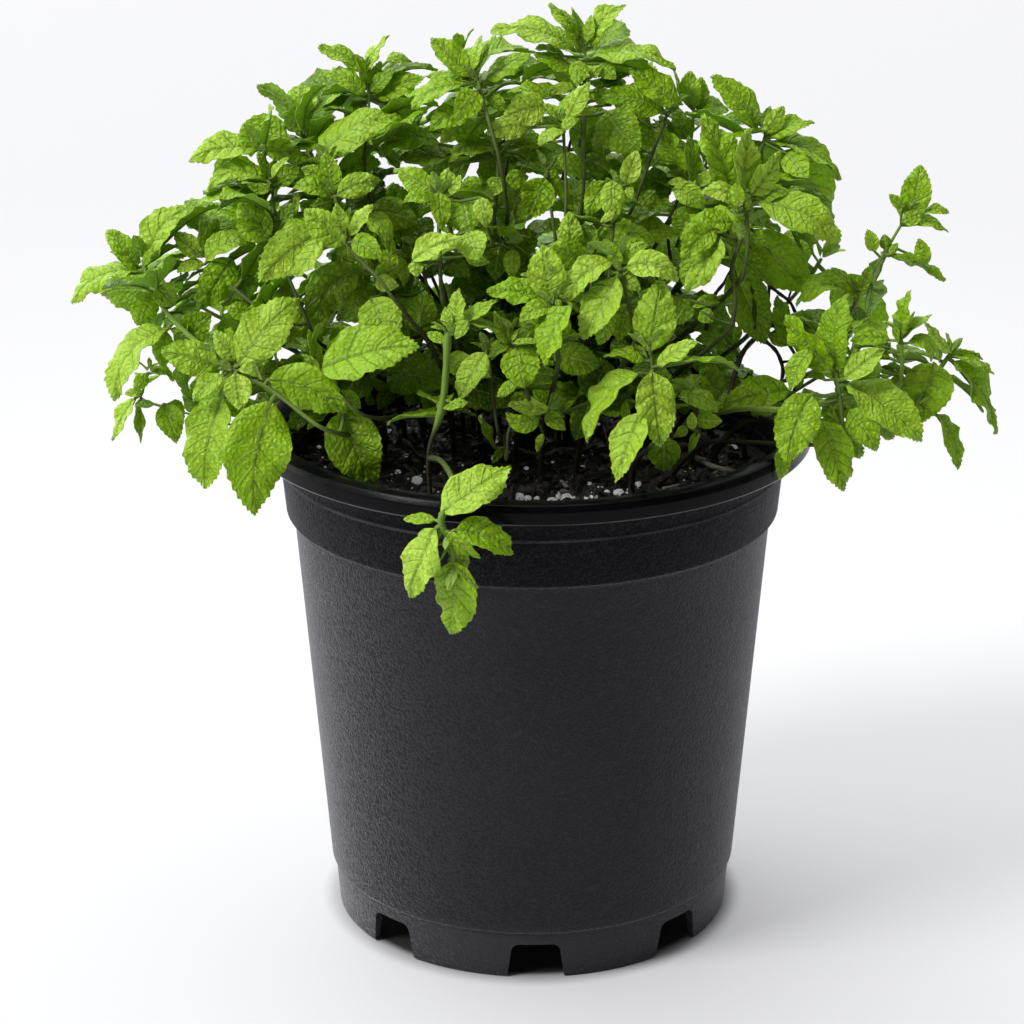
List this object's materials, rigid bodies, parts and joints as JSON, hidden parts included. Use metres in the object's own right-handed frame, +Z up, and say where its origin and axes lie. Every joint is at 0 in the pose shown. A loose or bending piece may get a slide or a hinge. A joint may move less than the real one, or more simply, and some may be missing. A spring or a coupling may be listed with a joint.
{
  "type": "potted mint plant",
  "caption": "Bushy mint plant with toothed wrinkled leaves in a tapered dark plastic nursery pot with a lipped rim and notched foot.",
  "frame": {"origin": "on the ground, on the pot's axis, which is also the middle of the object's box", "axes": "+Z up along the pot's axis, -Y towards the front, where a sprig hangs over the rim, +X to the right seen from the front"},
  "size_m": [0.2082, 0.15, 0.2107],
  "materials": {
    "pot_plastic": "satin",
    "potting_mix": "matte",
    "perlite": "matte",
    "mint_leaf": "satin",
    "mint_stem": "satin"
  },
  "bodies": {
    "root": {"perlite_a": "perlite", "perlite_b": "perlite", "perlite_c": "perlite", "pot": "pot_plastic", "runner": "mint_stem", "shoot_back_a": "mint_leaf", "shoot_back_b": "mint_leaf", "shoot_back_c": "mint_leaf", "shoot_back_d": "mint_leaf", "shoot_back_e": "mint_leaf", "shoot_back_f": "mint_leaf", "shoot_back_h": "mint_leaf", "shoot_back_i": "mint_leaf", "shoot_back_k": "mint_leaf", "shoot_back_l": "mint_leaf", "shoot_back_m": "mint_leaf", "shoot_centre": "mint_leaf", "shoot_centre_low": "mint_leaf", "shoot_centre_right": "mint_leaf", "shoot_crown": "mint_leaf", "shoot_far_left": "mint_leaf", "shoot_far_left_low": "mint_leaf", "shoot_front_low": "mint_leaf", "shoot_front_right": "mint_leaf", "shoot_front_spill": "mint_leaf", "shoot_left_b": "mint_leaf", "shoot_left_c": "mint_leaf", "shoot_left_d": "mint_leaf", "shoot_left_dark": "mint_leaf", "shoot_left_e": "mint_leaf", "shoot_low_dark": "mint_leaf", "shoot_low_left": "mint_leaf", "shoot_low_left_leaf": "mint_leaf", "shoot_mid_arch": "mint_leaf", "shoot_mid_bright": "mint_leaf", "shoot_mid_dark": "mint_leaf", "shoot_mid_drop": "mint_leaf", "shoot_mid_left": "mint_leaf", "shoot_mid_low": "mint_leaf", "shoot_mid_rosette": "mint_leaf", "shoot_right_dark": "mint_leaf", "shoot_right_edge": "mint_leaf", "shoot_right_fern": "mint_leaf", "shoot_right_inner": "mint_leaf", "shoot_right_low_a": "mint_leaf", "shoot_right_n": "mint_leaf", "shoot_right_o": "mint_leaf", "shoot_right_p": "mint_leaf", "shoot_right_s": "mint_leaf", "shoot_right_t": "mint_leaf", "shoot_right_top": "mint_leaf", "shoot_right_u": "mint_leaf", "shoot_top_left": "mint_leaf", "shoot_top_mid": "mint_leaf", "shoot_upper_mid": "mint_leaf", "shoot_upper_pale": "mint_leaf", "shoot_upper_right": "mint_leaf", "soil": "potting_mix"}
  },
  "joints": []
}
